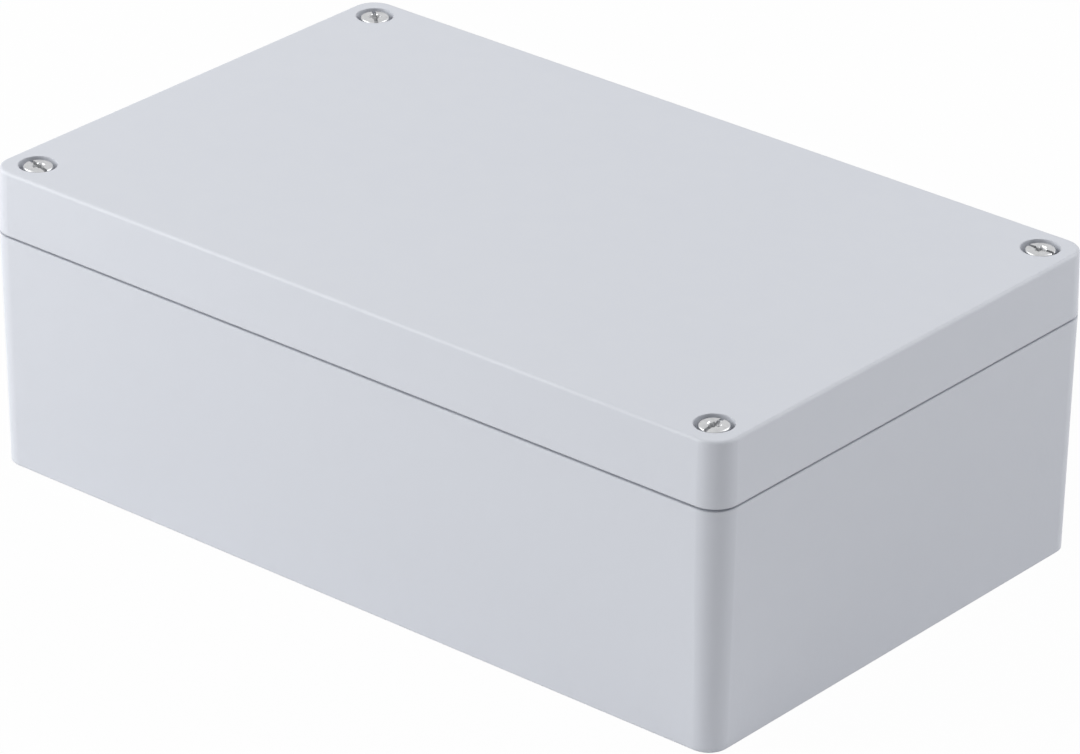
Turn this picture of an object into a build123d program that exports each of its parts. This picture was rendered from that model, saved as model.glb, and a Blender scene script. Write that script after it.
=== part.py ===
from build123d import *
import math
import os

os.makedirs("parts", exist_ok=True)

# Cast case, in millimetres. The origin is under the middle of the underside, with +Z up,
# the long side along X and the front long side at -Y.
case_length = 260
case_width = 160
case_height = 91
corner_radius = 7.5
wall = 5
floor_thickness = 4.5
draft = 1  # degrees, so that the castings leave their moulds
base_edge = 0.4  # chamfer round the underside
lid_edge_radius = 1
cavity_corner_radius = 6

# Lid
lid_skirt = 19.1
lid_thickness = 4
shadow_gap = 0.7

# Seal: a tongue on the base presses on a gasket in the lid's groove
tongue_width = 2
tongue_height = 3
groove_clearance = 0.6  # from the tongue to either wall of the groove
gasket_height = 3
gasket_clearance = 0.3
inner_rib = 2.2  # wall of the lid between the groove and the hollow
seal_margin = 2.4  # metal between the groove and the nearest bore

# Lid screws, M5, with a slotted head, held in the lid by a ring on their thinner neck
screw_inset = 10
thread_radius = 2.5
thread_clearance = 0.1
thread_bite = 8.2
tapped_spare_depth = 4
neck_radius = 2
head_radius = 4.25
head_height = 3.3
head_recess = 0.2  # from the lid's face down to the head
head_clearance = 1.25
shank_clearance = 0.25
slot_width = 1.2
slot_depth = 1.3

# Retaining rings
ring_radius = 4.2
ring_thickness = 1.2
ring_clearance = 0.15
ring_lift = 0.8  # from the base's rim up to the ring
travel_spare = 0.2
pocket_clearance = 0.3

# Bores through the floor that fix the case to a wall, under the lid and outside the seal
fixing_pitch = 15  # from a lid screw to the fixing bore beside it
fixing_radius = 3.25
fixing_head_radius = 6
fixing_seat = 10  # metal under the fixing screw's head

# Pads on the floor that carry a mounting plate, tapped M5
pad_inset_x = 9
pad_inset_y = 15
pad_size = 11
pad_height = 5
pad_thread_radius = 2.1
pad_thread_depth = 8

# Earth terminal on the floor, M6
earth_inset_x = 24
earth_inset_y = 23
earth_pad = 13
earth_pad_height = 9
earth_thread_radius = 3
earth_thread_depth = 11.5
earth_screw_length = 12
earth_head_radius = 6
earth_head_height = 4
earth_head_edge = 1.2
earth_slot_width = 1.6
clamp_thickness = 1.5
clamp_lip = 3
clamp_clearance = 0.2
clamp_bend_radius = 0.9
spring_washer_radius = 5.4
spring_washer_thickness = 1.6
spring_washer_split = 1
split_slope = 60  # degrees

# Levels
skirt_z = case_height - lid_skirt
rim_z = skirt_z - shadow_gap
tongue_z = rim_z + tongue_height
groove_z = tongue_z + gasket_height
seat_z = case_height - head_recess - head_height
shoulder_z = rim_z + ring_lift
pad_z = floor_thickness + pad_height
earth_z = floor_thickness + earth_pad_height
clamp_z = earth_z + clamp_thickness
earth_seat_z = clamp_z + spring_washer_thickness

# Places in plan
screw_x = case_length / 2 - screw_inset
screw_y = case_width / 2 - screw_inset
fixing_y = screw_y - fixing_pitch
pocket_radius = ring_radius + pocket_clearance
groove_reach = tongue_width + groove_clearance
pillar_x = screw_x - max(pocket_radius, fixing_head_radius) - seal_margin - groove_reach
pillar_y = fixing_y - fixing_head_radius - seal_margin - groove_reach
pad_x = pillar_x - pad_inset_x
pad_y = case_width / 2 - wall - pad_inset_y
earth_x = -(pillar_x - earth_inset_x)
earth_y = case_width / 2 - wall - earth_inset_y

# Working lengths of the lid screws
screw_travel = thread_bite + travel_spare
screw_length = seat_z - rim_z + thread_bite
neck_length = seat_z - shoulder_z
pocket_z = shoulder_z + ring_thickness + screw_travel + travel_spare / 2

# The drive slot of each screw stands as it was last turned, in degrees from +X
slot_angles = {
    "front_right": 95,
    "front_left": -15,
    "rear_right": 2,
    "rear_left": -43,
}
corner_signs = {
    "front_right": (1, -1),
    "front_left": (-1, -1),
    "rear_right": (1, 1),
    "rear_left": (-1, 1),
}


def cavity_plan(grow=0, taper=0):
    """Outline of the cavity, narrowed by a taper on every side and then grown outward.

    It is a cross in plan, because it steps in around the pillars at the four corners.
    """
    with BuildSketch() as plan:
        Rectangle(case_length - 2 * (wall + taper), 2 * (pillar_y - taper))
        Rectangle(2 * (pillar_x - taper), case_width - 2 * (wall + taper))
        fillet(plan.vertices(), cavity_corner_radius)
        if grow:
            offset(amount=grow)
    return plan.sketch


# Base: a deep cast tub, wider at its rim than at its underside
with BuildPart() as base_box:
    with BuildSketch(Plane.XY.offset(rim_z)):
        RectangleRounded(case_length, case_width, corner_radius)
    extrude(amount=-rim_z, taper=draft)
    chamfer(base_box.faces().sort_by(Axis.Z)[0].edges(), base_edge)

    # Tongue that presses on the gasket
    with BuildSketch(Plane.XY.offset(rim_z)):
        add(cavity_plan(tongue_width))
    extrude(amount=tongue_height)

    # Cavity, narrower at its floor
    with BuildSketch(Plane.XY.offset(tongue_z)):
        add(cavity_plan())
    with BuildSketch(Plane.XY.offset(floor_thickness)):
        add(cavity_plan(taper=(tongue_z - floor_thickness) * math.tan(math.radians(draft))))
    loft(ruled=True, mode=Mode.SUBTRACT)

    # Pads and the earth terminal's block stand on the floor
    with BuildSketch(Plane.XY.offset(floor_thickness)):
        with GridLocations(2 * pad_x, 2 * pad_y, 2, 2):
            Rectangle(pad_size, pad_size)
    extrude(amount=pad_height)
    with BuildSketch(Plane.XY.offset(floor_thickness)):
        with Locations((earth_x, earth_y)):
            Rectangle(earth_pad, earth_pad)
    extrude(amount=earth_pad_height)

    # Tapped holes
    with Locations(Plane.XY.offset(pad_z)):
        with GridLocations(2 * pad_x, 2 * pad_y, 2, 2):
            Hole(pad_thread_radius, depth=pad_thread_depth)
    with Locations((earth_x, earth_y, earth_z)):
        Hole(earth_thread_radius + thread_clearance, depth=earth_thread_depth)
    with Locations(Plane.XY.offset(rim_z)):
        with GridLocations(2 * screw_x, 2 * screw_y, 2, 2):
            Hole(thread_radius + thread_clearance, depth=thread_bite + tapped_spare_depth)
        with GridLocations(2 * screw_x, 2 * fixing_y, 2, 2):
            CounterBoreHole(fixing_radius, fixing_head_radius, rim_z - fixing_seat)

base_box.part.label = "base_box"
export_step(base_box.part, "parts/base_box.step")

# Lid: a shallow cast cover that rests on the gasket in its groove
with BuildPart() as lid:
    with BuildSketch(Plane.XY.offset(skirt_z)):
        RectangleRounded(case_length, case_width, corner_radius)
    extrude(amount=lid_skirt, taper=draft)
    fillet(lid.faces().sort_by(Axis.Z)[-1].edges(), lid_edge_radius)

    # Hollow inside the seal
    hollow_height = lid_skirt - lid_thickness
    with BuildSketch(Plane.XY.offset(skirt_z)):
        add(cavity_plan(-groove_clearance - inner_rib))
    with BuildSketch(Plane.XY.offset(skirt_z + hollow_height)):
        hollow_taper = hollow_height * math.tan(math.radians(draft))
        add(cavity_plan(-groove_clearance - inner_rib, hollow_taper))
    loft(ruled=True, mode=Mode.SUBTRACT)

    # Groove
    with BuildSketch(Plane.XY.offset(skirt_z)):
        add(cavity_plan(groove_reach))
        add(cavity_plan(-groove_clearance), mode=Mode.SUBTRACT)
    extrude(amount=groove_z - skirt_z, mode=Mode.SUBTRACT)

    # Sunk screw holes and the rings' pockets under them
    with Locations(Plane.XY.offset(case_height)):
        with GridLocations(2 * screw_x, 2 * screw_y, 2, 2):
            CounterBoreHole(
                thread_radius + shank_clearance,
                head_radius + head_clearance,
                case_height - seat_z,
            )
    with BuildSketch(Plane.XY.offset(skirt_z)):
        with GridLocations(2 * screw_x, 2 * screw_y, 2, 2):
            Circle(pocket_radius)
    extrude(amount=pocket_z - skirt_z, mode=Mode.SUBTRACT)

lid.part.label = "lid"
export_step(lid.part, "parts/lid.step")

# Gasket: fills the groove from the tongue up to the groove's floor
with BuildPart() as lid_gasket:
    with BuildSketch(Plane.XY.offset(tongue_z)):
        add(cavity_plan(groove_reach - gasket_clearance))
        add(cavity_plan(gasket_clearance - groove_clearance), mode=Mode.SUBTRACT)
    extrude(amount=gasket_height)

lid_gasket.part.label = "lid_gasket"
export_step(lid_gasket.part, "parts/lid_gasket.step")

# One lid screw, with its head's seat at the origin: head, thin neck and threaded end
with BuildPart() as screw_blank:
    with BuildSketch(Plane.XZ):
        with BuildLine():
            Polyline(
                (0, -screw_length),
                (thread_radius, -screw_length),
                (thread_radius, -neck_length),
                (neck_radius, -neck_length),
                (neck_radius, 0),
                (head_radius, 0),
                (head_radius, head_height),
                (0, head_height),
                close=True,
            )
        make_face()
    revolve(axis=Axis.Z)
    with BuildSketch(Plane.XY.offset(head_height)):
        Rectangle(2 * head_radius, slot_width)
    extrude(amount=-slot_depth, mode=Mode.SUBTRACT)

# One retaining ring, lying on the shoulder below the screw's neck
with BuildPart() as ring_blank:
    with BuildSketch():
        Circle(ring_radius)
        Circle(neck_radius + ring_clearance, mode=Mode.SUBTRACT)
    extrude(amount=ring_thickness)

for corner, (sign_x, sign_y) in corner_signs.items():
    corner_x = sign_x * screw_x
    corner_y = sign_y * screw_y

    with BuildPart() as lid_screw:
        with Locations(Location((corner_x, corner_y, seat_z), (0, 0, slot_angles[corner]))):
            add(screw_blank.part)
    lid_screw.part.label = f"lid_screw_{corner}"
    export_step(lid_screw.part, f"parts/lid_screw_{corner}.step")

    with BuildPart() as screw_ring:
        with Locations((corner_x, corner_y, shoulder_z)):
            add(ring_blank.part)
    screw_ring.part.label = f"screw_ring_{corner}"
    export_step(screw_ring.part, f"parts/screw_ring_{corner}.step")

# Wire clamp of the earth terminal: a plate whose two lips reach down beside the block
with BuildPart() as earth_clamp:
    clamp_width = earth_pad + 2 * (clamp_clearance + clamp_thickness)
    with BuildSketch(Plane.XY.offset(clamp_z)):
        with Locations((earth_x, earth_y)):
            Rectangle(clamp_width, earth_pad)
    extrude(amount=-clamp_thickness - clamp_lip)
    with BuildSketch(Plane.XY.offset(earth_z)):
        with Locations((earth_x, earth_y)):
            Rectangle(earth_pad + 2 * clamp_clearance, earth_pad)
    extrude(amount=-clamp_lip, mode=Mode.SUBTRACT)
    outer_bends = earth_clamp.edges().filter_by(Axis.Y).group_by(Axis.Z)[-1]
    fillet(outer_bends, clamp_bend_radius)
    with Locations((earth_x, earth_y, clamp_z)):
        Hole(earth_thread_radius + shank_clearance)

earth_clamp.part.label = "earth_clamp"
export_step(earth_clamp.part, "parts/earth_clamp.step")

# Spring washer: one turn with a slanting split
with BuildPart() as earth_spring_washer:
    with BuildSketch(Plane.XY.offset(clamp_z)):
        with Locations((earth_x, earth_y)):
            Circle(spring_washer_radius)
            Circle(earth_thread_radius + shank_clearance, mode=Mode.SUBTRACT)
    extrude(amount=spring_washer_thickness)
    split_plane = Plane(
        origin=(earth_x, earth_y, clamp_z + spring_washer_thickness / 2),
        x_dir=(math.cos(math.radians(split_slope)), 0, math.sin(math.radians(split_slope))),
        z_dir=(0, -1, 0),
    )
    with BuildSketch(split_plane):
        Rectangle(2 * spring_washer_radius, spring_washer_split)
    extrude(amount=2 * spring_washer_radius, mode=Mode.SUBTRACT)

earth_spring_washer.part.label = "earth_spring_washer"
export_step(earth_spring_washer.part, "parts/earth_spring_washer.step")

# Earth screw: bevelled head with a slot, and threaded shank
with BuildPart() as earth_blank:
    with BuildSketch(Plane.XZ):
        with BuildLine():
            Polyline(
                (0, -earth_screw_length),
                (earth_thread_radius, -earth_screw_length),
                (earth_thread_radius, 0),
                (earth_head_radius, 0),
                (earth_head_radius, earth_head_height),
                (0, earth_head_height),
                close=True,
            )
        make_face()
    revolve(axis=Axis.Z)
    chamfer(earth_blank.edges().group_by(Axis.Z)[-1], earth_head_edge)
    with BuildSketch(Plane.XY.offset(earth_head_height)):
        Rectangle(2 * earth_head_radius, earth_slot_width)
    extrude(amount=-slot_depth, mode=Mode.SUBTRACT)

with BuildPart() as earth_screw:
    with Locations((earth_x, earth_y, earth_seat_z)):
        add(earth_blank.part)

earth_screw.part.label = "earth_screw"
export_step(earth_screw.part, "parts/earth_screw.step")
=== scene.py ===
"""Looks of a powder-coated die-cast electrical enclosure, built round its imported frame, in metres."""

import logging
import math
from dataclasses import dataclass, field
from enum import Enum

import bmesh
import bpy
import numpy as np
from mathutils import Matrix, Vector


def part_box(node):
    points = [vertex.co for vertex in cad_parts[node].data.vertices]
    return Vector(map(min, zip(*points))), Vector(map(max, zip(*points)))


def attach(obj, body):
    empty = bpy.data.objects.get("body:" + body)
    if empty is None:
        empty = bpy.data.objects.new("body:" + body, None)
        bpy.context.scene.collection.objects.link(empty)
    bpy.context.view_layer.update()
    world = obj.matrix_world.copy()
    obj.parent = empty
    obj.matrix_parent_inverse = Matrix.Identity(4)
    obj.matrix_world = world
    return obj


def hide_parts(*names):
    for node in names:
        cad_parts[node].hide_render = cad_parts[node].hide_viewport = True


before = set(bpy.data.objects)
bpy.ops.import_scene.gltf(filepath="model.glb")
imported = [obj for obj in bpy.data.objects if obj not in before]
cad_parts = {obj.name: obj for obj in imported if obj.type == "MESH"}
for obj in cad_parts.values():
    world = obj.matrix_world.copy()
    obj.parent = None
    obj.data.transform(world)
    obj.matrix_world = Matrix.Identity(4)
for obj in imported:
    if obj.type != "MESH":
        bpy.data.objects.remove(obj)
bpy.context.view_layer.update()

log = logging.getLogger("enclosure")

MM = 0.001
PHOTO_WIDTH_PX = 1080
NOISE_SPREAD = (0.3, 0.7)  # where most heights of a noise lie


class Corner(Enum):
    """The four corners, each with its label and the angle in degrees of its screw's slot."""

    FRONT_RIGHT = ("front_right", 95.0)
    FRONT_LEFT = ("front_left", -15.0)
    REAR_RIGHT = ("rear_right", 2.0)
    REAR_LEFT = ("rear_left", -43.0)

    def __init__(self, label: str, slot_angle: float) -> None:
        """Keeps the corner's facts under their names."""
        self.label = label
        self.slot_angle = slot_angle


class Wave(Enum):
    """Forms of a repeated groove."""

    TURNED_RINGS = "rings round an axis, as a lathe tool leaves them"
    THREAD = "a helix round an axis"


# Surfaces


@dataclass
class Shape:
    """A surface as points and faces, before it becomes an object."""

    points: np.ndarray
    quads: np.ndarray

    @classmethod
    def from_grid(cls, grid: np.ndarray, closed_rows: bool = False, closed_columns: bool = False) -> "Shape":
        """Joins a grid of points into quads.

        Args:
            grid: points of shape (rows, columns, 3); a face turns from row to row, then column to column.
            closed_rows: whether the last row joins the first.
            closed_columns: whether the last column joins the first.

        Returns:
            The surface, with its front on the side of (row step) x (column step).
        """
        rows, columns = grid.shape[:2]
        index = np.arange(rows * columns).reshape(rows, columns)
        if closed_rows:
            index = np.vstack([index, index[:1]])
        if closed_columns:
            index = np.hstack([index, index[:, :1]])
        quads = np.stack([index[:-1, :-1], index[1:, :-1], index[1:, 1:], index[:-1, 1:]], axis=-1)
        return cls(grid.reshape(-1, 3), quads.reshape(-1, 4))

    def joined(self, other: "Shape") -> "Shape":
        """Returns both surfaces as one."""
        quads = np.vstack([self.quads, other.quads + len(self.points)])
        return Shape(np.vstack([self.points, other.points]), quads)

    def turned(self, degrees: float) -> "Shape":
        """Returns the surface turned about Z: x' = x cos - y sin, y' = x sin + y cos."""
        cos, sin = math.cos(math.radians(degrees)), math.sin(math.radians(degrees))
        return Shape(self.points @ np.array([[cos, sin, 0], [-sin, cos, 0], [0, 0, 1]]), self.quads)

    def moved(self, place: Vector) -> "Shape":
        """Returns the surface carried to a place."""
        return Shape(self.points + np.array(place), self.quads)

    def to_object(self, name: str, body: str, sharp_above: float = 38.0) -> bpy.types.Object:
        """Makes a smooth-shaded mesh object of the surface and lets it ride on a body.

        Points that fall together, as at a pole or along a seam, are merged, which closes the surface.

        Args:
            name: the piece's name.
            body: the body that carries the piece.
            sharp_above: angle in degrees from which an edge is drawn sharp.

        Returns:
            The new object, at the origin, with its place in its mesh.
        """
        mesh = bpy.data.meshes.new(name)
        mesh.from_pydata(self.points.tolist(), [], self.quads.tolist())
        edit = bmesh.new()
        edit.from_mesh(mesh)
        bmesh.ops.remove_doubles(edit, verts=edit.verts, dist=0.0002 * MM)
        bmesh.ops.recalc_face_normals(edit, faces=edit.faces)
        edit.to_mesh(mesh)
        edit.free()
        mesh.shade_smooth()
        mesh.set_sharp_from_angle(angle=math.radians(sharp_above))
        piece = bpy.data.objects.new(name, mesh)
        bpy.context.scene.collection.objects.link(piece)
        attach(piece, body)
        return piece


def revolved(radii: np.ndarray, heights: np.ndarray, angles: np.ndarray) -> np.ndarray:
    """Turns rows of radius and height about Z.

    Formula: a point of row k at angle a is (r cos a, r sin a, z), where r and z may also vary with a.

    Args:
        radii: radii of shape (rows,) or (rows, angles).
        heights: heights of the same shape.
        angles: the angles in radians.

    Returns:
        Points of shape (rows, angles, 3).
    """
    flat = radii.ndim == 1
    r = np.repeat(radii[:, None], len(angles), axis=1) if flat else radii
    z = np.repeat(heights[:, None], len(angles), axis=1) if flat else heights
    return np.stack([r * np.cos(angles), r * np.sin(angles), z], axis=-1)


def rounded_box_profile(width: float, height: float, radius: float, steps: int = 5) -> np.ndarray:
    """Outline of a rectangle with round corners, centred on the origin, anticlockwise.

    Formula: round each corner's centre, at half the width and height less the radius, runs a quarter circle.

    Args:
        width: full width.
        height: full height.
        radius: radius of the corners.
        steps: spans in each quarter circle.

    Returns:
        Points of shape (4 * (steps + 1), 2).
    """
    quarter = np.linspace(0, math.pi / 2, steps + 1)
    turns = (np.arange(4)[:, None] * math.pi / 2 + quarter).ravel()
    side_x = np.repeat([1, -1, -1, 1], steps + 1) * (width / 2 - radius)
    side_y = np.repeat([1, 1, -1, -1], steps + 1) * (height / 2 - radius)
    return np.stack([side_x + radius * np.cos(turns), side_y + radius * np.sin(turns)], axis=-1)


# Finishes


class NodeSheet:
    """A material's node tree with short ways to add and join nodes."""

    def __init__(self, name: str) -> None:
        """Starts a material with an empty tree and an output.

        Args:
            name: the material's name.
        """
        self.material = bpy.data.materials.new(name)
        self.material.use_nodes = True
        self.tree = self.material.node_tree
        self.tree.nodes.clear()
        self.output = self.add("ShaderNodeOutputMaterial")
        self.object_point = self.add("ShaderNodeTexCoord").outputs["Object"]

    def add(self, kind: str, **settings: object) -> bpy.types.Node:
        """Adds a node.

        Args:
            kind: the node's type.
            settings: the node's own properties and their values.

        Returns:
            The node.
        """
        node = self.tree.nodes.new(kind)
        for key, value in settings.items():
            setattr(node, key, value)
        return node

    def feed(self, socket: bpy.types.NodeSocket, source: object) -> None:
        """Joins a socket to another, or gives it a plain value.

        Args:
            socket: the input that is fed.
            source: an output socket or a value.
        """
        if isinstance(source, bpy.types.NodeSocket):
            self.tree.links.new(source, socket)
        else:
            socket.default_value = source

    def math(self, operation: str, *sources: object, clamp: bool = False) -> bpy.types.NodeSocket:
        """Works out a sum or another operation on plain values.

        Args:
            operation: the operation's name.
            sources: its inputs in order, each a socket or a number.
            clamp: whether the result is held between 0 and 1.

        Returns:
            The result.
        """
        node = self.add("ShaderNodeMath", operation=operation, use_clamp=clamp)
        for socket, source in zip(node.inputs, sources):
            self.feed(socket, source)
        return node.outputs["Value"]

    def noise(self, scale: float, detail: float = 2.0, roughness: float = 0.5) -> bpy.types.NodeSocket:
        """Adds noise over the object.

        Args:
            scale: features in a metre.
            detail: finer layers.
            roughness: strength of the finer layers.

        Returns:
            The noise's height, about 0 to 1.
        """
        node = self.add("ShaderNodeTexNoise")
        self.feed(node.inputs["Vector"], self.object_point)
        self.feed(node.inputs["Scale"], scale)
        self.feed(node.inputs["Detail"], detail)
        self.feed(node.inputs["Roughness"], roughness)
        return node.outputs["Fac"]

    def ranged(self, value: bpy.types.NodeSocket, low: float, high: float,
               source_low: float = 0.0, source_high: float = 1.0) -> bpy.types.NodeSocket:
        """Carries a value from one range to another, held inside it.

        Args:
            value: the value.
            low: the result at the source's low end.
            high: the result at the source's high end.
            source_low: the source's low end.
            source_high: the source's high end.

        Returns:
            The value in the new range.
        """
        node = self.add("ShaderNodeMapRange")
        self.feed(node.inputs["Value"], value)
        self.feed(node.inputs["From Min"], source_low)
        self.feed(node.inputs["From Max"], source_high)
        self.feed(node.inputs["To Min"], low)
        self.feed(node.inputs["To Max"], high)
        return node.outputs["Result"]

    def blend(self, share: bpy.types.NodeSocket, first: object, second: tuple) -> bpy.types.NodeSocket:
        """Mixes two colours.

        Args:
            share: how much of the second colour shows, from 0 to 1.
            first: a colour of three numbers, or a colour socket.
            second: a colour of three numbers.

        Returns:
            The mixed colour.
        """
        node = self.add("ShaderNodeMix", data_type="RGBA")
        colours = [socket for socket in node.inputs if socket.type == "RGBA"]
        self.feed(node.inputs["Factor"], share)
        self.feed(colours[0], (*first, 1.0) if isinstance(first, tuple) else first)
        self.feed(colours[1], (*second, 1.0))
        return next(socket for socket in node.outputs if socket.type == "RGBA")

    def mixed(self, share: object, first: bpy.types.NodeSocket,
              second: bpy.types.NodeSocket) -> bpy.types.NodeSocket:
        """Mixes two shaders.

        Args:
            share: how much of the second shader shows, from 0 to 1.
            first: the shader at 0.
            second: the shader at 1.

        Returns:
            The mixed shader.
        """
        node = self.add("ShaderNodeMixShader")
        for socket, source in zip(node.inputs, (share, first, second)):
            self.feed(socket, source)
        return node.outputs["Shader"]

    def seen_directly(self) -> bpy.types.NodeSocket:
        """Sorts rays by what they are for.

        Returns:
            1 for camera, glossy and transmission rays, and 0 for the rest.
        """
        path = self.add("ShaderNodeLightPath")
        either = self.math("MAXIMUM", path.outputs["Is Camera Ray"], path.outputs["Is Glossy Ray"])
        return self.math("MAXIMUM", either, path.outputs["Is Transmission Ray"])

    def bump(self, height: bpy.types.NodeSocket, depth: float,
             normal: bpy.types.NodeSocket | None = None) -> bpy.types.NodeSocket:
        """Adds relief.

        Args:
            height: the relief's height, from 0 to 1.
            depth: its full depth in metres.
            normal: the relief that lies under it.

        Returns:
            The normal of the relief.
        """
        node = self.add("ShaderNodeBump")
        self.feed(node.inputs["Height"], height)
        self.feed(node.inputs["Distance"], depth)
        if normal is not None:
            self.feed(node.inputs["Normal"], normal)
        return node.outputs["Normal"]

    def from_axis(self, centre: tuple[float, float],
                  mirrored: bool = False) -> tuple[bpy.types.NodeSocket, ...]:
        """Measures each point from an upright axis.

        Args:
            centre: where the axis stands, as x and y.
            mirrored: whether the same axis stands in all four quarters, by the sizes of x and y.

        Returns:
            The distance from the axis, the turn round it from -0.5 to 0.5, and the height z.
        """
        parts = self.add("ShaderNodeSeparateXYZ")
        self.feed(parts.inputs["Vector"], self.object_point)
        x, y, z = parts.outputs
        if mirrored:
            x, y = self.math("ABSOLUTE", x), self.math("ABSOLUTE", y)
        across = self.math("SUBTRACT", x, centre[0])
        along = self.math("SUBTRACT", y, centre[1])
        square_x, square_y = self.math("MULTIPLY", across, across), self.math("MULTIPLY", along, along)
        squares = self.math("ADD", square_x, square_y)
        turn = self.math("DIVIDE", self.math("ARCTAN2", along, across), 2 * math.pi)
        return self.math("SQRT", squares), turn, z

    def groove(self, form: Wave, centre: tuple[float, float], pitch: float,
               mirrored: bool = False) -> bpy.types.NodeSocket:
        """Height of a repeated groove round an upright axis, from 0 to 1.

        Formula: a triangle wave of r / pitch for rings, and of z / pitch - turn for a thread.

        Args:
            form: rings or a thread.
            centre: where the axis stands, as x and y.
            pitch: from one groove to the next.
            mirrored: whether the same axis stands in all four quarters.

        Returns:
            The height.
        """
        reach, turn, z = self.from_axis(centre, mirrored)
        if form is Wave.TURNED_RINGS:
            phase = self.math("DIVIDE", reach, pitch)
        else:
            phase = self.math("SUBTRACT", self.math("DIVIDE", z, pitch), turn)
        return self.math("MULTIPLY", self.math("PINGPONG", phase, 0.5), 2.0)

    def surface(self, **values: object) -> bpy.types.NodeSocket:
        """Adds the main shader.

        Args:
            values: its inputs, named with _ for spaces, each a socket or a value.

        Returns:
            The shader.
        """
        node = self.add("ShaderNodeBsdfPrincipled")
        for key, value in values.items():
            self.feed(node.inputs[key.replace("_", " ")], value)
        return node.outputs["BSDF"]

    def finish(self, shader: bpy.types.NodeSocket) -> bpy.types.Material:
        """Joins the shader to the output and returns the material."""
        self.feed(self.output.inputs["Surface"], shader)
        return self.material


@dataclass(frozen=True)
class BareSpot:
    """A round place about one upright axis, above its floor, where the casting has no paint."""

    centre: tuple[float, float]
    radius: float
    pitch: float
    mirrored: bool
    floor: float = 0.0


@dataclass(frozen=True)
class PowderCoat:
    """Light grey powder coat: a soft orange peel with fine grain, over cast aluminium."""

    colour: tuple[float, float, float] = (0.665, 0.687, 0.745)
    colour_cloud: tuple[float, float, float] = (0.648, 0.671, 0.731)
    cloud_per_metre: float = 9.0
    roughness: tuple[float, float] = (0.40, 0.50)
    gloss_per_metre: float = 140.0
    refraction: float = 1.5
    peel_per_metre: float = 620.0
    peel_depth: float = 0.020 * MM
    grain_per_metre: float = 3200.0
    grain_depth: float = 0.004 * MM
    edge_radius: float = 0.55 * MM
    metal: tuple[float, float, float] = (0.70, 0.71, 0.72)
    metal_roughness: tuple[float, float] = (0.25, 0.45)
    metal_per_metre: float = 900.0
    thread_depth_share: float = 0.45
    # painted shade: share of the metal colour left in the thread's roots
    thread_root_shade_share: float = 0.45

    def material(self, name: str, bare_spots: tuple[BareSpot, ...] = ()) -> bpy.types.Material:
        """Builds the coat, with bare threaded metal in the given spots.

        Args:
            name: the material's name.
            bare_spots: the places that are machined after painting.

        Returns:
            The material.
        """
        sheet = NodeSheet(name)
        edge = sheet.add("ShaderNodeBevel", samples=4)
        sheet.feed(edge.inputs["Radius"], self.edge_radius)
        peel_height = sheet.noise(self.peel_per_metre, detail=1.5)
        peel = sheet.bump(peel_height, self.peel_depth, edge.outputs["Normal"])
        grain = sheet.bump(sheet.noise(self.grain_per_metre), self.grain_depth, peel)
        clouds = sheet.noise(self.cloud_per_metre, detail=3.0)
        tone = sheet.blend(clouds, self.colour, self.colour_cloud)
        gloss = sheet.ranged(sheet.noise(self.gloss_per_metre, detail=3.0), *self.roughness, *NOISE_SPREAD)
        shader = sheet.surface(Base_Color=tone, Roughness=gloss, Normal=grain, IOR=self.refraction)
        for spot in bare_spots:
            shader = self._bared(sheet, shader, spot)
        return sheet.finish(shader)

    def _bared(self, sheet: NodeSheet, painted: bpy.types.NodeSocket,
               spot: BareSpot) -> bpy.types.NodeSocket:
        """Lays bare metal with a thread over the paint inside one spot, with painted shade darkening the
        thread's roots.

        Args:
            sheet: the coat's node sheet.
            painted: the shader outside the spot.
            spot: the place that is bare.

        Returns:
            The mixed shader.
        """
        reach, _, z = sheet.from_axis(spot.centre, spot.mirrored)
        inside = sheet.math("LESS_THAN", reach, spot.radius)
        above = sheet.math("GREATER_THAN", z, spot.floor)
        thread = sheet.groove(Wave.THREAD, spot.centre, spot.pitch, spot.mirrored)
        relief = sheet.bump(thread, self.thread_depth_share * spot.pitch)
        # painted shade: the thread's roots are coloured darker than its crests
        root = tuple(self.thread_root_shade_share * part for part in self.metal)
        tone = sheet.blend(thread, root, self.metal)
        gloss = sheet.ranged(sheet.noise(self.metal_per_metre), *self.metal_roughness, *NOISE_SPREAD)
        metal = sheet.surface(Base_Color=tone, Metallic=1.0, Roughness=gloss, Normal=relief)
        return sheet.mixed(sheet.math("MULTIPLY", inside, above), painted, metal)


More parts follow.
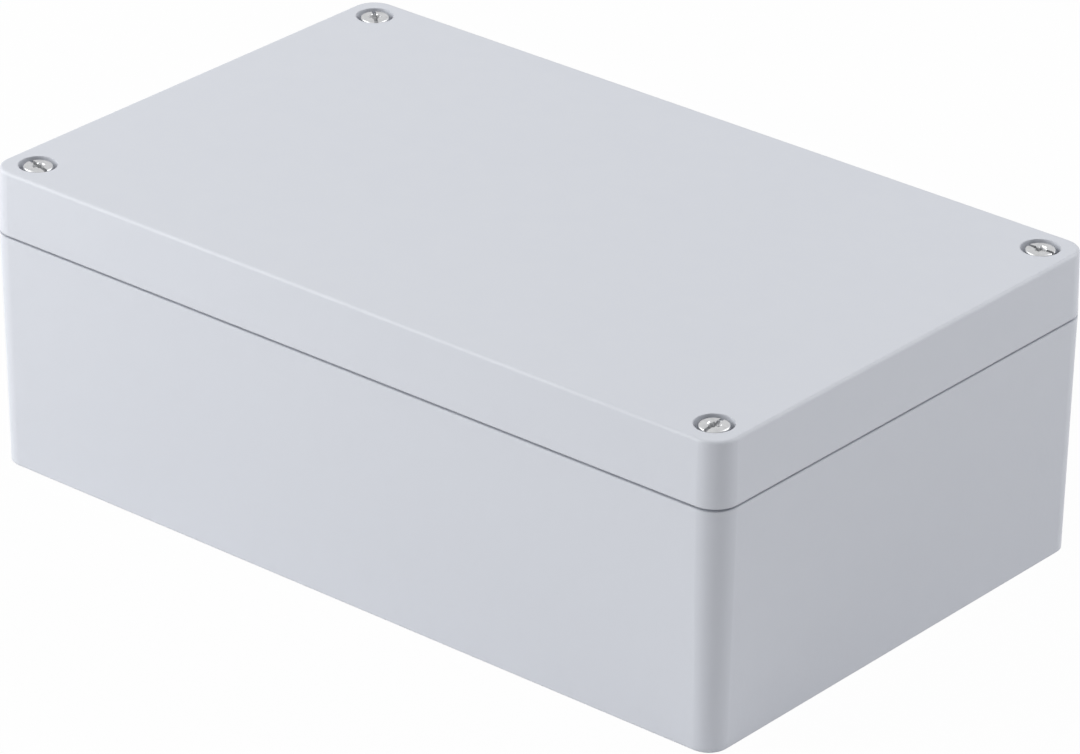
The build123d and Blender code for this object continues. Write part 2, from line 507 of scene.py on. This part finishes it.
@dataclass(frozen=True)
class TurnedSteel:
    """Stainless steel as a lathe leaves it, with fine rings across the axis and a duller pressed drive whose
    colour is darkened with painted shade.
    """

    colour: tuple[float, float, float] = (0.59, 0.595, 0.605)
    stain: tuple[float, float, float] = (0.50, 0.505, 0.515)
    stain_per_metre: float = 900.0
    stain_spread: tuple[float, float] = (0.35, 0.75)
    # painted shade: the darker colour laid inside the drive recess, where shade falls
    drive_shade: tuple[float, float, float] = (0.36, 0.365, 0.375)
    roughness: tuple[float, float] = (0.26, 0.40)
    gloss_per_metre: float = 500.0
    dull_roughness: float = 0.6
    dull_shade_from: float = 0.25 * MM
    dull_shade_share: float = 0.86
    ring_pitch: float = 0.16 * MM
    ring_depth: float = 0.006 * MM
    scuff_per_metre: float = 2600.0
    scuff_depth: float = 0.003 * MM

    def material(self, name: str, centre: Vector, head_radius: float,
                 head_height: float) -> bpy.types.Material:
        """Builds the steel for a piece turned about one upright axis, rougher in its pressed drive, where
        painted shade darkens the colour.

        Args:
            name: the material's name.
            centre: the middle of the head's seat.
            head_radius: radius of the head.
            head_height: height of the head over its seat.

        Returns:
            The material.
        """
        sheet = NodeSheet(name)
        axis = (centre.x, centre.y)
        rings = sheet.groove(Wave.TURNED_RINGS, axis, self.ring_pitch)
        relief = sheet.bump(rings, self.ring_depth)
        scuffed = sheet.bump(sheet.noise(self.scuff_per_metre, detail=3.0), self.scuff_depth, relief)
        stains = sheet.ranged(sheet.noise(self.stain_per_metre, detail=4.0), 0.0, 1.0, *self.stain_spread)
        tone = sheet.blend(stains, self.colour, self.stain)
        gloss = sheet.ranged(sheet.noise(self.gloss_per_metre, detail=3.0), *self.roughness, *NOISE_SPREAD)
        reach, _, height = sheet.from_axis(axis)
        face = centre.z + head_height
        # mask of the drive below the head's face: it carries the rougher finish and the painted shade
        below_face = sheet.ranged(height, 1.0, 0.0, face - 2 * self.dull_shade_from, face - self.dull_shade_from)
        inside = sheet.math("LESS_THAN", reach, self.dull_shade_share * head_radius)
        in_head = sheet.math("MULTIPLY", inside, sheet.math("GREATER_THAN", height, centre.z))
        in_drive = sheet.math("MULTIPLY", below_face, in_head)
        # painted shade: the colour is darkened inside the drive recess
        tone = sheet.blend(in_drive, tone, self.drive_shade)
        added = sheet.math("MULTIPLY", in_drive, self.dull_roughness - self.roughness[1])
        gloss = sheet.math("ADD", gloss, added)
        return sheet.finish(sheet.surface(Base_Color=tone, Metallic=1.0, Roughness=gloss, Normal=scuffed))


@dataclass(frozen=True)
class ZincPlate:
    """Bright zinc plating on pressed steel, clouded and faintly warm."""

    colour: tuple[float, float, float] = (0.76, 0.74, 0.68)
    cloud: tuple[float, float, float] = (0.62, 0.62, 0.60)
    cloud_per_metre: float = 420.0
    spangle_per_metre: float = 1300.0
    spangle_share: tuple[float, float] = (0.6, 1.2)
    roughness: tuple[float, float] = (0.28, 0.46)
    scuff_per_metre: float = 1800.0
    scuff_depth: float = 0.006 * MM

    def material(self, name: str) -> bpy.types.Material:
        """Builds the plating.

        Args:
            name: the material's name.

        Returns:
            The material.
        """
        sheet = NodeSheet(name)
        spangle = sheet.add("ShaderNodeTexVoronoi")
        sheet.feed(spangle.inputs["Vector"], sheet.object_point)
        sheet.feed(spangle.inputs["Scale"], self.spangle_per_metre)
        clouds = sheet.noise(self.cloud_per_metre, detail=4.0)
        relief = sheet.bump(sheet.noise(self.scuff_per_metre, detail=3.0), self.scuff_depth)
        spangles = sheet.ranged(spangle.outputs["Distance"], *self.spangle_share)
        tone = sheet.blend(sheet.math("MULTIPLY", clouds, spangles, clamp=True), self.colour, self.cloud)
        gloss = sheet.ranged(clouds, *self.roughness, *NOISE_SPREAD)
        return sheet.finish(sheet.surface(Base_Color=tone, Metallic=1.0, Roughness=gloss, Normal=relief))


@dataclass(frozen=True)
class Elastomer:
    """Black silicone foam cord: matt, with fine pores and a dusty bloom."""

    colour: tuple[float, float, float] = (0.020, 0.020, 0.022)
    bloom: tuple[float, float, float] = (0.045, 0.045, 0.047)
    bloom_per_metre: float = 160.0
    bloom_spread: tuple[float, float] = (0.35, 0.7)
    roughness: tuple[float, float] = (0.58, 0.75)
    refraction: float = 1.41
    pores_per_metre: float = 2200.0
    pore_depth: float = 0.02 * MM

    def material(self, name: str) -> bpy.types.Material:
        """Builds the rubber.

        Args:
            name: the material's name.

        Returns:
            The material.
        """
        sheet = NodeSheet(name)
        pores = sheet.bump(sheet.noise(self.pores_per_metre, detail=3.0), self.pore_depth)
        dust = sheet.noise(self.bloom_per_metre, detail=4.0)
        tone = sheet.blend(sheet.ranged(dust, 0.0, 1.0, *self.bloom_spread), self.colour, self.bloom)
        gloss = sheet.ranged(dust, *self.roughness, *NOISE_SPREAD)
        shader = sheet.surface(Base_Color=tone, Roughness=gloss, Normal=pores, IOR=self.refraction)
        return sheet.finish(shader)


@dataclass(frozen=True)
class Nylon:
    """Natural nylon: milky and slightly translucent, with a fine moulded grain."""

    colour: tuple[float, float, float] = (0.72, 0.70, 0.61)
    cloud: tuple[float, float, float] = (0.66, 0.64, 0.54)
    cloud_per_metre: float = 350.0
    roughness: tuple[float, float] = (0.38, 0.5)
    refraction: float = 1.53
    grain_per_metre: float = 3000.0
    grain_depth: float = 0.004 * MM

    def material(self, name: str) -> bpy.types.Material:
        """Builds the nylon.

        Args:
            name: the material's name.

        Returns:
            The material.
        """
        sheet = NodeSheet(name)
        grain = sheet.bump(sheet.noise(self.grain_per_metre), self.grain_depth)
        clouds = sheet.noise(self.cloud_per_metre, detail=3.0)
        tone = sheet.blend(clouds, self.colour, self.cloud)
        gloss = sheet.ranged(clouds, *self.roughness, *NOISE_SPREAD)
        shader = sheet.surface(Base_Color=tone, Roughness=gloss, Normal=grain, IOR=self.refraction)
        return sheet.finish(shader)


# Castings


@dataclass
class Castings:
    """The painted base and lid, which keep their solids and get their finish here."""

    coat: PowderCoat = field(default_factory=PowderCoat)
    screw_place: tuple[float, float] = (120 * MM, 70 * MM)
    screw_hole_radius: float = 2.7 * MM
    screw_pitch: float = 0.8 * MM
    screw_floor: float = 50.0 * MM
    pad_place: tuple[float, float] = (100 * MM, 60 * MM)
    pad_hole_radius: float = 2.25 * MM
    pad_pitch: float = 0.8 * MM
    earth_place: tuple[float, float] = (-85 * MM, 52 * MM)
    earth_bare_radius: float = 5.8 * MM
    earth_pitch: float = 1.0 * MM
    earth_floor: float = 1.0 * MM

    def dress(self) -> None:
        """Paints both castings, with bare metal in the base's threads and on the earth block."""
        spots = (
            BareSpot(self.screw_place, self.screw_hole_radius, self.screw_pitch, True, self.screw_floor),
            BareSpot(self.pad_place, self.pad_hole_radius, self.pad_pitch, True, self.earth_floor),
            BareSpot(self.earth_place, self.earth_bare_radius, self.earth_pitch, False, self.earth_floor),
        )
        dress_node("base_box", self.coat.material("base_powder_coat", spots))
        dress_node("lid", self.coat.material("lid_powder_coat"))


def dress_node(node: str, material: bpy.types.Material) -> None:
    """Gives a carried-over node one material and reports it.

    Args:
        node: the node's name.
        material: its finish.
    """
    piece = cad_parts[node]
    piece.data.materials.clear()
    piece.data.materials.append(material)
    log.info("%s dressed with %s", node, material.name)


def stand_in(piece: bpy.types.Object, node: str, material: bpy.types.Material) -> None:
    """Lets a new piece stand for a node and reports it.

    Args:
        piece: the new piece.
        node: the node that it replaces.
        material: its finish.
    """
    piece.data.materials.append(material)
    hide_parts(node)
    log.info("%s stands for %s with %d faces", piece.name, node, len(piece.data.polygons))


# Screws


@dataclass(frozen=True)
class HeadDrive:
    """A slot across the whole head with a tapering cross recess at its middle."""

    slot_width: float
    slot_depth: float
    cross_span: float
    cross_width: float
    cross_depth: float
    cross_foot: float = 0.45
    wall_run: float = 0.012 * MM

    def depth(self, x: np.ndarray, y: np.ndarray) -> np.ndarray:
        """Depth of the drive under the head's face.

        Formula: the slot runs along x and is as deep as its whole width. The cross is a hollow pyramid over
        a plus sign: with s the larger of |x| / half span and |y| / half width, taken for either arm and the
        smaller kept, its depth falls evenly from its foot, at s = foot share, to nothing at s = 1.

        Args:
            x: places along the slot.
            y: places across the slot.

        Returns:
            Depths of the same shape.
        """
        slot = np.where(np.abs(y) < self.slot_width / 2 - self.wall_run / 2, self.slot_depth, 0.0)
        half_span, half_width = self.cross_span / 2, self.cross_width / 2
        one_arm = np.maximum(np.abs(x) / half_span, np.abs(y) / half_width)
        other_arm = np.maximum(np.abs(x) / half_width, np.abs(y) / half_span)
        share = (1 - np.minimum(one_arm, other_arm)) / (1 - self.cross_foot)
        return np.maximum(slot, np.clip(self.cross_depth * share, 0.0, self.cross_depth))


@dataclass
class MachineScrew:
    """A turned screw with its head's seat at the origin: driven head, neck, threaded shank and tip."""

    head_radius: float
    head_height: float
    head_edge: float
    head_crown: float
    drive: HeadDrive
    thread_radius: float
    thread_pitch: float
    length: float
    neck_radius: float = 0.0
    neck_length: float = 0.0
    tip_chamfer: float = 0.7 * MM
    seat_edge: float = 0.12 * MM
    thread_depth_share: float = 0.61
    crest_gain: float = 1.3
    crest_loss: float = 0.15
    entry_slope: float = 1.4
    angles_in_half: int = 56
    rows_in_pitch: int = 10
    slot_lines: tuple[float, ...] = (0.0, 0.22, 0.45, 0.7, 0.9)
    side_lines: int = 18
    side_spread: float = 0.8

    def _columns(self) -> np.ndarray:
        """Places of the head grid's columns along the slot, from +x to -x.

        Formula: the head's radius times the cosine of even angles, with the cross's own edges and the
        places where the slot leaves the head added.

        Returns:
            The places, in falling order.
        """
        even = self.head_radius * np.cos(np.linspace(0, math.pi, self.angles_in_half + 1))
        half_width, half_slot = self.drive.cross_width / 2, self.drive.slot_width / 2
        edges = np.array([half_width, half_width * self.drive.cross_foot])
        ends = np.sqrt(self.head_radius**2 - (half_slot - np.array([0.0, self.drive.wall_run])) ** 2)
        lines = np.concatenate([even, edges, -edges, ends, -ends])
        return np.unique(np.round(lines / MM, 5))[::-1] * MM

    def _rounding(self, reach: np.ndarray) -> np.ndarray:
        """Drop of the head's face: a crown that grows with the square of the reach, and a round edge.

        Args:
            reach: distances from the axis.

        Returns:
            Drops of the same shape.
        """
        beyond = np.clip(reach - (self.head_radius - self.head_edge), 0.0, self.head_edge)
        edge = self.head_edge - np.sqrt(self.head_edge**2 - beyond**2)
        return edge + self.head_crown * (reach / self.head_radius) ** 2

    def _face(self, x: np.ndarray, y: np.ndarray) -> np.ndarray:
        """Height of the head's face, the lower of its rounded top and its drive."""
        rounding = self._rounding(np.hypot(x, y))
        return self.head_height - np.maximum(rounding, self.drive.depth(x, y))

    def _head(self) -> tuple[Shape, np.ndarray]:
        """Builds the head's face.

        Formula: over each column at x the lines run from -h to h, with h = sqrt(R^2 - x^2): those of the
        slot keep their own distance from its middle, and the rest share what is left on either side.

        Returns:
            The face, and the angles of the points on its round edge, anticlockwise from +x.
        """
        x = self._columns()
        half_slot = self.drive.slot_width / 2
        inner_edge = 1 - self.drive.wall_run / half_slot
        inner = np.array([*self.slot_lines, inner_edge, 1.0])
        outer = np.linspace(0, 1, self.side_lines + 1)[1:] ** self.side_spread
        reach = np.sqrt(np.clip(self.head_radius**2 - x**2, 0.0, None))
        near = np.minimum(half_slot, reach)[:, None]
        above = np.hstack([inner * near, near + outer * (reach[:, None] - near)])
        y = np.hstack([-above[:, :0:-1], above])
        xs = np.repeat(x[:, None], y.shape[1], axis=1)
        grid = np.stack([xs, y, self._face(xs, y)], axis=-1)
        rim_y = np.concatenate([y[:, -1], y[-2:0:-1, 0]])
        rim_x = np.concatenate([x, x[-2:0:-1]])
        return Shape.from_grid(grid), np.mod(np.arctan2(rim_y, rim_x), 2 * math.pi)

    def _shank_rows(self) -> tuple[np.ndarray, np.ndarray]:
        """Radii and heights of the rows from the head's edge down to the thread.

        Returns:
            Radii and heights, downward.
        """
        top = self.head_height - self.head_edge - self.head_crown
        start = self.neck_radius or self.thread_radius
        rows = [(self.head_radius, top * share) for share in (1.0, 0.66, 0.33)]
        rows += [
            (self.head_radius, self.seat_edge),
            (self.head_radius - self.seat_edge, 0.0),
            (start + self.seat_edge, 0.0),
            (start, -self.seat_edge),
        ]
        if self.neck_length:
            rows += [(start, -self.neck_length * share) for share in (0.25, 0.5, 0.75, 1.0)]
        return np.array([r for r, _ in rows]), np.array([z for _, z in rows])

    def _thread_rows(self, angles: np.ndarray) -> tuple[np.ndarray, np.ndarray]:
        """Radii and heights of the thread's rows.

        Formula: with p the fraction of z / pitch - angle / turn, the thread rises and falls as a triangle
        of |2p - 1| with flat crest and root, over a share of the pitch. One cone holds it in at its start,
        and a cone of 45 degrees at its tip.

        Args:
            angles: the angles round the screw.

        Returns:
            Radii and heights, both of shape (rows, angles), downward.
        """
        start = -self.neck_length or -self.seat_edge
        count = int((self.length + start) / self.thread_pitch * self.rows_in_pitch) + 1
        z = np.repeat(np.linspace(start, -self.length, count)[:, None], len(angles), axis=1)
        phase = np.mod(z / self.thread_pitch - angles / (2 * math.pi), 1.0)
        crest = np.clip(np.abs(2 * phase - 1) * self.crest_gain - self.crest_loss, 0.0, 1.0)
        root = self.thread_radius - self.thread_depth_share * self.thread_pitch
        radius = root + (self.thread_radius - root) * crest
        entry = (self.neck_radius or self.thread_radius) + (start - z) * self.entry_slope
        tip = self.thread_radius - self.tip_chamfer + (z + self.length)
        return np.minimum(np.minimum(radius, np.maximum(entry, root)), tip), z

    def shape(self) -> Shape:
        """Builds the whole screw.

        Returns:
            One closed surface, with the head's seat at z = 0.
        """
        head, angles = self._head()
        radii, heights = self._shank_rows()
        r = np.repeat(radii[:, None], len(angles), axis=1)
        z = np.repeat(heights[:, None], len(angles), axis=1)
        rim = self._face(self.head_radius * np.cos(angles), self.head_radius * np.sin(angles))
        on_head = heights > 0
        z[on_head] = np.minimum(z[on_head], rim)
        thread_r, thread_z = self._thread_rows(angles)
        foot_r, foot_z = np.zeros((1, len(angles))), np.full((1, len(angles)), -self.length)
        side = revolved(np.vstack([r, thread_r, foot_r]), np.vstack([z, thread_z, foot_z]), angles)
        return head.joined(Shape.from_grid(side, closed_columns=True))


def head_seat(node: str, head_height: float) -> Vector:
    """Returns the middle of a screw node's head seat, which lies a head's height under its top."""
    low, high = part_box(node)
    return Vector(((low.x + high.x) / 2, (low.y + high.y) / 2, high.z - head_height))


def lid_screw() -> MachineScrew:
    """Sizes of a lid screw, as long as the solid that it stands for.

    Returns:
        The screw.
    """
    low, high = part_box("lid_screw_front_right")
    head_height = 3.3 * MM
    return MachineScrew(
        head_radius=4.25 * MM,
        head_height=head_height,
        head_edge=0.55 * MM,
        head_crown=0.08 * MM,
        drive=HeadDrive(
            slot_width=1.1 * MM,
            slot_depth=0.9 * MM,
            cross_span=3.6 * MM,
            cross_width=1.6 * MM,
            cross_depth=1.9 * MM,
        ),
        thread_radius=2.5 * MM,
        thread_pitch=0.8 * MM,
        length=high.z - low.z - head_height,
        neck_radius=2.0 * MM,
        neck_length=15.5 * MM,
    )


@dataclass
class LidScrews:
    """The four captive screws of the lid, each with its nylon ring."""

    screw: MachineScrew = field(default_factory=lid_screw)
    steel: TurnedSteel = field(default_factory=TurnedSteel)
    nylon: Nylon = field(default_factory=Nylon)
    ring_inner: float = 2.15 * MM
    ring_outer: float = 4.2 * MM
    ring_edge: float = 0.28 * MM
    ring_angles: int = 96

    def build(self) -> None:
        """Builds each corner's screw and ring in place of their nodes."""
        ring_finish = self.nylon.material("ring_nylon")
        for corner in Corner:
            self._screw(corner)
            self._ring(corner, ring_finish)

    def _screw(self, corner: Corner) -> None:
        """Builds one screw, turned to its slot's angle.

        Args:
            corner: the corner that it stands in.
        """
        node = f"lid_screw_{corner.label}"
        place = head_seat(node, self.screw.head_height)
        shape = self.screw.shape().turned(corner.slot_angle).moved(place)
        piece = shape.to_object(f"captive_screw_{corner.label}", f"screw_{corner.label}")
        sizes = self.screw.head_radius, self.screw.head_height
        finish = self.steel.material(f"turned_steel_{corner.label}", place, *sizes)
        stand_in(piece, node, finish)

    def _ring(self, corner: Corner, finish: bpy.types.Material) -> None:
        """Builds one ring: a rectangle with round corners turned about the screw's axis.

        Args:
            corner: the corner that it stands in.
            finish: the ring's material.
        """
        node = f"screw_ring_{corner.label}"
        low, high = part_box(node)
        width, middle = self.ring_outer - self.ring_inner, (self.ring_outer + self.ring_inner) / 2
        profile = rounded_box_profile(width, high.z - low.z, self.ring_edge)
        angles = np.linspace(0, 2 * math.pi, self.ring_angles, endpoint=False)
        grid = revolved(profile[:, 0] + middle, profile[:, 1], angles)
        shape = Shape.from_grid(grid, closed_rows=True, closed_columns=True).moved((low + high) / 2)
        piece = shape.to_object(f"retaining_ring_{corner.label}", f"ring_{corner.label}")
        stand_in(piece, node, finish)


# Seal


@dataclass
class Gasket:
    """The cord of the lid's groove: a soft rounded bar that follows the cross-shaped cavity."""

    half_length: float = 125 * MM
    half_width: float = 75 * MM
    pillar_x: float = 109 * MM
    pillar_y: float = 44 * MM
    corner_radius: float = 6 * MM
    path_offset: float = 1.0 * MM
    bar_width: float = 2.6 * MM
    bar_edge: float = 0.7 * MM
    steps: int = 12
    rubber: Elastomer = field(default_factory=Elastomer)

    def outline(self, offset: np.ndarray) -> np.ndarray:
        """Cross-shaped outline at given distances outside the cavity.

        Formula: twelve quarter circles joined by straight runs. An outward corner's circle has the corner
        radius plus the offset, an inward corner's the radius less the offset, and the centres stay.

        Args:
            offset: distances outward, of shape (n,).

        Returns:
            Points in plan of shape (n, 12 * (steps + 1), 2).
        """
        r = self.corner_radius
        outward = np.array([1, -1, 1] * 4)
        centre_x = np.array([self.half_length - r, self.pillar_x + r, self.pillar_x - r])
        centre_y = np.array([self.pillar_y - r, self.pillar_y + r, self.half_width - r])
        first = np.array([0.0, -math.pi / 2, 0.0])
        mirrored_first = math.pi - first[::-1] - outward[:3] * math.pi / 2
        xs = np.concatenate([centre_x, -centre_x[::-1], -centre_x, centre_x[::-1]])
        ys = np.concatenate([centre_y, centre_y[::-1], -centre_y, -centre_y[::-1]])
        starts = np.concatenate([first, mirrored_first, first + math.pi, mirrored_first + math.pi])
        sweep = outward[:, None] * np.linspace(0, math.pi / 2, self.steps + 1)
        angles = (starts[:, None] + sweep).ravel()
        radius = r + outward * offset[:, None]
        radii = np.repeat(radius, self.steps + 1, axis=1)
        x = np.repeat(xs, self.steps + 1) + radii * np.cos(angles)
        y = np.repeat(ys, self.steps + 1) + radii * np.sin(angles)
        return np.stack([x, y], axis=-1)

    def build(self) -> None:
        """Carries the bar's rounded profile along the outline, in place of the plain gasket."""
        low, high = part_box("lid_gasket")
        profile = rounded_box_profile(self.bar_width, high.z - low.z, self.bar_edge)
        plan = self.outline(profile[:, 0] + self.path_offset)
        heights = np.repeat(profile[:, 1:], plan.shape[1], axis=1)[..., None] + (low.z + high.z) / 2
        grid = np.concatenate([plan, heights], axis=-1)
        shape = Shape.from_grid(grid, closed_rows=True, closed_columns=True)
        piece = shape.to_object("seal_cord", "cover")
        stand_in(piece, "lid_gasket", self.rubber.material("seal_rubber"))


# Earth terminal


@dataclass
class EarthTerminal:
    """The earth terminal: pressed clamp, split spring washer and headed screw."""

    screw: MachineScrew = field(default_factory=lambda: MachineScrew(
        head_radius=6.0 * MM,
        head_height=4.0 * MM,
        head_edge=1.5 * MM,
        head_crown=0.2 * MM,
        drive=HeadDrive(
            slot_width=1.6 * MM,
            slot_depth=1.3 * MM,
            cross_span=6.4 * MM,
            cross_width=1.5 * MM,
            cross_depth=2.6 * MM,
        ),
        thread_radius=3.0 * MM,
        thread_pitch=1.0 * MM,
        length=12.0 * MM,
    ))
    washer_inner: float = 3.25 * MM
    washer_outer: float = 5.4 * MM
    washer_edge: float = 0.2 * MM
    washer_split: float = 1.1 * MM
    washer_slant: float = 0.55
    washer_angles: int = 73
    washer_edge_steps: int = 3
    slot_angle: float = 20.0
    steel: TurnedSteel = field(default_factory=TurnedSteel)
    plate: ZincPlate = field(default_factory=ZincPlate)

    def build(self) -> None:
        """Builds the screw and the washer in place of their nodes, and plates the clamp."""
        plating = self.plate.material("zinc_plate")
        dress_node("earth_clamp", plating)
        self._washer(plating)
        place = head_seat("earth_screw", self.screw.head_height)
        shape = self.screw.shape().turned(self.slot_angle).moved(place)
        piece = shape.to_object("earth_bolt", "terminal_screw")
        finish = self.steel.material("earth_steel", place, self.screw.head_radius, self.screw.head_height)
        stand_in(piece, "earth_screw", finish)

    def _washer(self, plating: bpy.types.Material) -> None:
        """Builds the spring washer.

        Formula: a rectangle with round corners is carried round the axis from one side of the split to the
        other. Where z is higher, both ends lie further round, by slant x z / radius, so the split leans.

        Args:
            plating: the washer's material.
        """
        low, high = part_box("earth_spring_washer")
        middle = (self.washer_inner + self.washer_outer) / 2
        width, height = self.washer_outer - self.washer_inner, high.z - low.z
        profile = rounded_box_profile(width, height, self.washer_edge, self.washer_edge_steps)
        half_gap = self.washer_split / middle / 2
        turns = np.linspace(half_gap, 2 * math.pi - half_gap, self.washer_angles)[:, None] - math.pi / 2
        turns = turns + self.washer_slant * profile[:, 1] / middle
        radii = profile[:, 0] + middle
        ring = np.stack([radii * np.cos(turns), radii * np.sin(turns), profile[:, 1] + 0 * turns], axis=-1)
        ends = [np.repeat(ring[k].mean(axis=0)[None, None], len(profile), axis=1) for k in (0, -1)]
        grid = np.vstack([ends[0], ring, ends[1]])
        shape = Shape.from_grid(grid, closed_columns=True).moved((low + high) / 2)
        piece = shape.to_object("split_washer", "clamp_set")
        stand_in(piece, "earth_spring_washer", plating)


# Studio


@dataclass(frozen=True)
class Softbox:
    """A square lamp that looks at the middle of the case."""

    name: str
    azimuth: float
    elevation: float
    distance: float
    side: float
    watts: float
    tint: tuple[float, float, float] = (1.0, 1.0, 1.0)

    def build(self, target: Vector) -> None:
        """Places the lamp round the target, with azimuth 0 at -Y and 90 at +X.

        Args:
            target: the point that it looks at.
        """
        lamp = bpy.data.lights.new(self.name, "AREA")
        lamp.shape = "SQUARE"
        lamp.size = self.side
        lamp.energy = self.watts
        lamp.color = self.tint
        item = bpy.data.objects.new(self.name, lamp)
        back = direction(self.azimuth, self.elevation)
        item.location = target + back * self.distance
        item.rotation_mode = "QUATERNION"
        item.rotation_quaternion = (-back).to_track_quat("-Z", "Y")
        bpy.context.scene.collection.objects.link(item)
        log.info("lamp %s, %.1f W", self.name, self.watts)


def direction(azimuth: float, elevation: float) -> Vector:
    """Unit vector towards a viewer at these angles in degrees, with azimuth 0 at -Y and 90 at +X."""
    a, e = math.radians(azimuth), math.radians(elevation)
    return Vector((math.sin(a) * math.cos(e), -math.cos(a) * math.cos(e), math.sin(e)))


@dataclass
class PhotoCamera:
    """The photograph's viewpoint, as found from the outline of the case."""

    place: tuple[float, float, float] = (1007.5 * MM, -1195.7 * MM, 813.3 * MM)
    azimuth: float = 40.03
    elevation: float = 26.35
    roll: float = -0.62
    focal_px: float = 6309.0
    sensor: float = 36.0
    clip: tuple[float, float] = (0.05, 60.0)

    def build(self) -> None:
        """Makes the scene's camera from the view's angles."""
        data = bpy.data.cameras.new("photo_camera")
        data.sensor_width = self.sensor
        data.lens = self.focal_px / PHOTO_WIDTH_PX * self.sensor
        data.clip_start, data.clip_end = self.clip
        camera = bpy.data.objects.new("photo_camera", data)
        back = direction(self.azimuth, self.elevation)
        right = Vector((0, 0, 1)).cross(back).normalized()
        up = back.cross(right)
        turn = math.radians(self.roll)
        side = right * math.cos(turn) - up * math.sin(turn)
        above = right * math.sin(turn) + up * math.cos(turn)
        axes = Matrix((side, above, back)).transposed()
        camera.matrix_world = Matrix.Translation(self.place) @ axes.to_4x4()
        bpy.context.scene.collection.objects.link(camera)
        bpy.context.scene.camera = camera
        log.info("camera with a %.1f mm lens", data.lens)


@dataclass
class Studio:
    """White sweep, soft lamps and camera."""

    floor_side: float = 14.0
    floor_drop: float = 0.05 * MM
    floor_colour: tuple[float, float, float] = (0.80, 0.80, 0.81)
    floor_cloud_share: float = 0.99
    floor_clouds_per_metre: float = 30.0
    white_share: float = 0.97
    ambient: tuple[float, float, float] = (1.0, 1.0, 1.0)
    ambient_strength: float = 0.387
    target: Vector = field(default_factory=lambda: Vector((0, 0, 45 * MM)))
    lamps: tuple[Softbox, ...] = (
        Softbox("left_softbox", azimuth=-51.0, elevation=27.5, distance=1.4, side=1.2, watts=17.1,
                tint=(1.0, 1.0, 0.98)),
        Softbox("rear_softbox", azimuth=143.0, elevation=38.0, distance=1.7, side=0.8, watts=11.0),
    )
    camera: PhotoCamera = field(default_factory=PhotoCamera)

    def build(self) -> None:
        """Builds the floor, the surroundings, the lamps and the camera."""
        self._floor()
        self._world()
        for lamp in self.lamps:
            lamp.build(self.target)
        self.camera.build()
        bpy.context.scene.view_settings.view_transform = "Standard"

    def _floor(self) -> None:
        """Lays a pale floor that shows as white, keeps a faint shadow and can be seen through from below."""
        half, low = self.floor_side / 2, -self.floor_drop
        corners = [(-half, -half, low), (half, -half, low), (half, half, low), (-half, half, low)]
        mesh = bpy.data.meshes.new("studio_floor")
        mesh.from_pydata(corners, [], [(0, 1, 2, 3)])
        floor = bpy.data.objects.new("studio_floor", mesh)
        bpy.context.scene.collection.objects.link(floor)
        sheet = NodeSheet("studio_floor")
        plain = sheet.add("ShaderNodeBsdfDiffuse")
        cloud = tuple(self.floor_cloud_share * part for part in self.floor_colour)
        tone = sheet.blend(sheet.noise(self.floor_clouds_per_metre), self.floor_colour, cloud)
        sheet.feed(plain.inputs["Color"], tone)
        glow = sheet.add("ShaderNodeEmission")
        clear = sheet.add("ShaderNodeBsdfTransparent")
        white = sheet.math("MULTIPLY", sheet.seen_directly(), self.white_share)
        lit = sheet.mixed(white, plain.outputs["BSDF"], glow.outputs["Emission"])
        from_below = sheet.add("ShaderNodeNewGeometry").outputs["Backfacing"]
        mesh.materials.append(sheet.finish(sheet.mixed(from_below, lit, clear.outputs["BSDF"])))

    def _world(self) -> None:
        """Surrounds the case with even light that shows as white."""
        world = bpy.data.worlds.new("studio_world")
        bpy.context.scene.world = world
        sheet = WorldSheet(world)
        glow = sheet.add("ShaderNodeBackground")
        sheet.feed(glow.inputs["Color"], (*self.ambient, 1.0))
        sheet.feed(glow.inputs["Strength"], self.ambient_strength)
        white = sheet.add("ShaderNodeBackground")
        sheet.feed(white.inputs["Color"], (1.0, 1.0, 1.0, 1.0))
        shown = sheet.mixed(sheet.seen_directly(), glow.outputs["Background"], white.outputs["Background"])
        sheet.feed(sheet.output.inputs["Surface"], shown)


class WorldSheet(NodeSheet):
    """The world's node tree, with the same short ways to add and join nodes."""

    def __init__(self, world: bpy.types.World) -> None:
        """Starts the world's tree empty, with an output.

        Args:
            world: the world that is lit.
        """
        world.use_nodes = True
        self.tree = world.node_tree
        self.tree.nodes.clear()
        self.output = self.add("ShaderNodeOutputWorld")


def main() -> None:
    """Dresses the castings, builds the small parts and sets up the studio."""
    logging.basicConfig(level=logging.INFO, format="%(name)s: %(message)s")
    Castings().dress()
    LidScrews().build()
    Gasket().build()
    EarthTerminal().build()
    Studio().build()
    bpy.context.view_layer.update()


if __name__ == "__main__":
    main()
